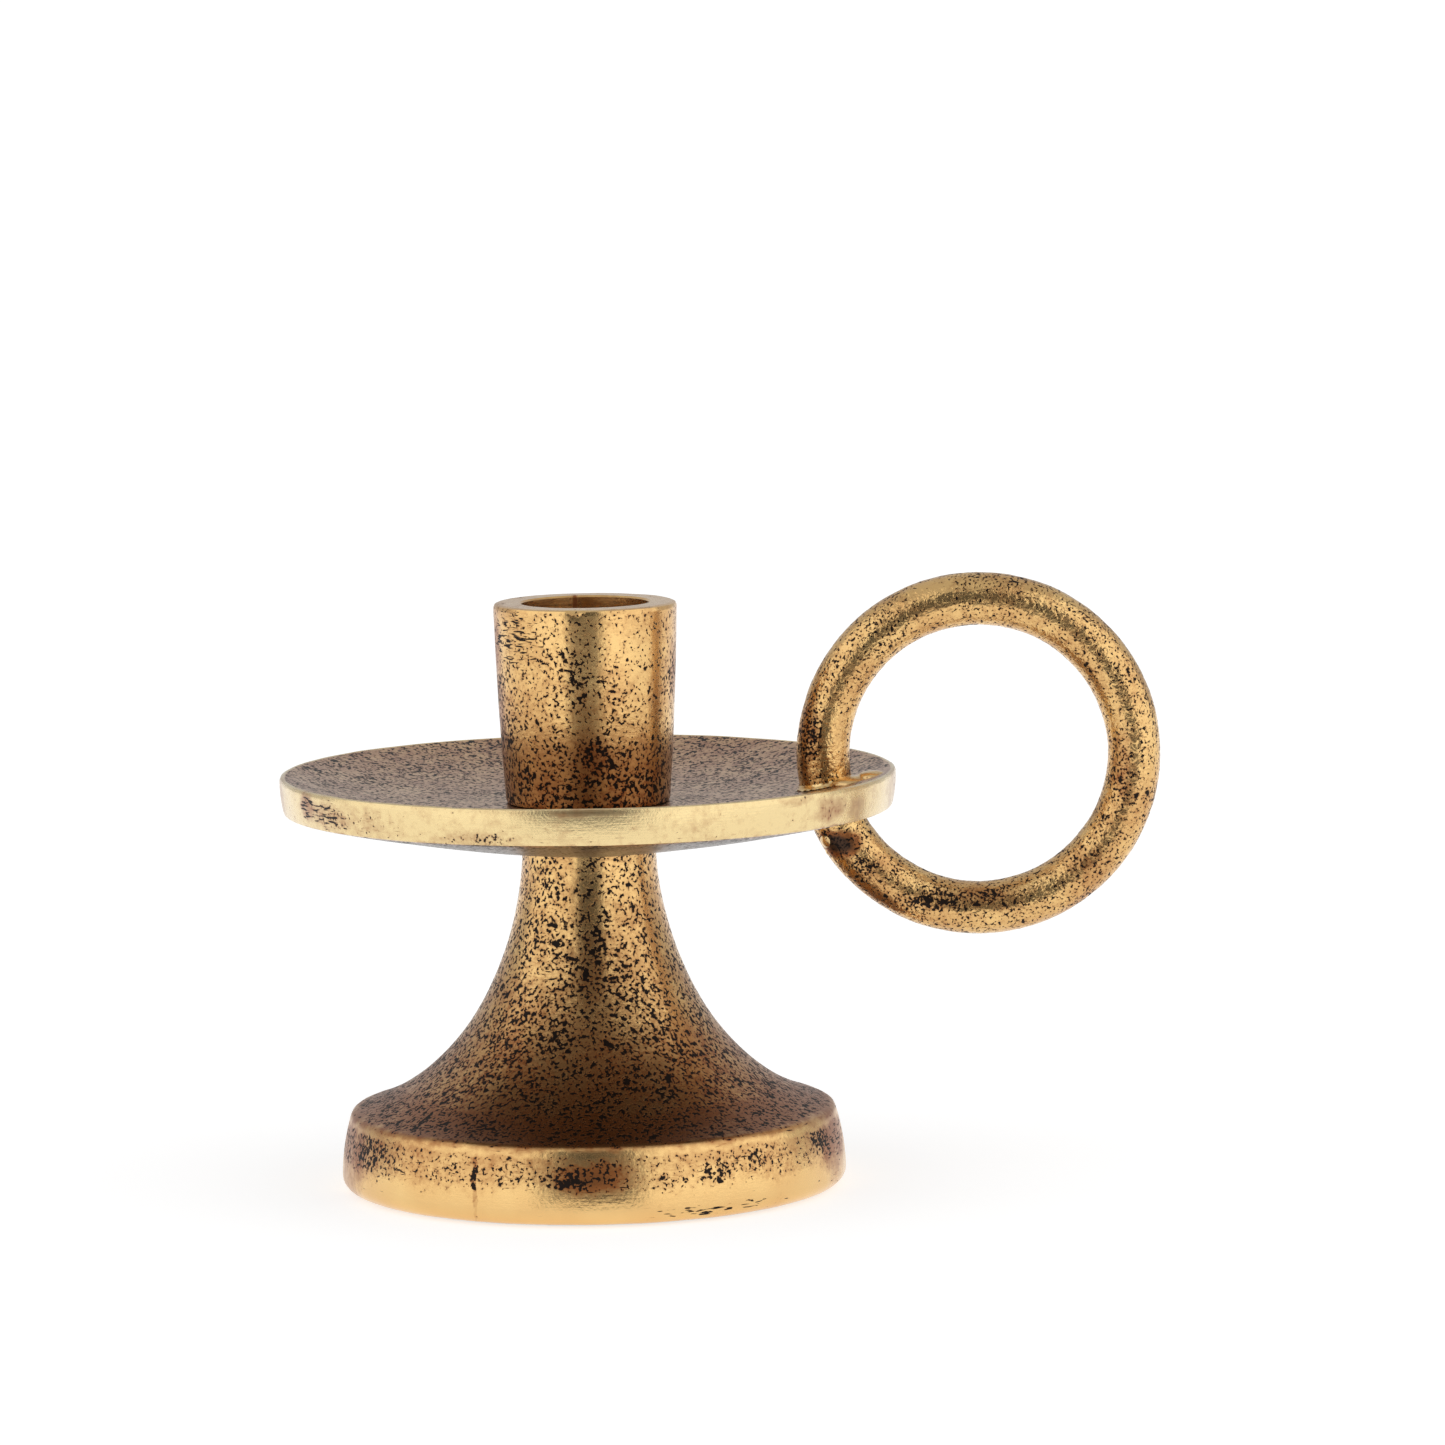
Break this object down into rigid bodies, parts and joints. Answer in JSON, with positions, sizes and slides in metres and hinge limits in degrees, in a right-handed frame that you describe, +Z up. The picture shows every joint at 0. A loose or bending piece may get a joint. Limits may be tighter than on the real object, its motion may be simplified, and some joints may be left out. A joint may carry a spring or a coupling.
{
  "type": "chamber candlestick",
  "caption": "Low brass chamber candlestick: bell foot, dished drip tray, tapered candle cup and a vertical ring handle through the tray's rim.",
  "frame": {"origin": "centre of the resting plane, under the felt ring, on the candle's axis", "axes": "+Z up along the candle's axis, +X towards the ring handle, the ring stands in the XZ plane"},
  "size_m": [0.1556, 0.109, 0.108],
  "materials": {
    "antique_brass": "cast and hand-finished brass with a dark antique patina left in pits and hollows",
    "zinc_steel": "bright zinc plate",
    "felt": "pressed wool felt"
  },
  "bodies": {
    "root": {"foot": "antique_brass", "drip_tray": "antique_brass", "candle_cup": "antique_brass", "ring_handle": "antique_brass", "upper_braze_fillet": "antique_brass", "lower_braze_fillet": "antique_brass", "tie_stud": "zinc_steel", "plain_washer": "zinc_steel", "lock_washer": "zinc_steel", "hex_nut": "zinc_steel", "felt_ring": "felt"}
  },
  "joints": []
}
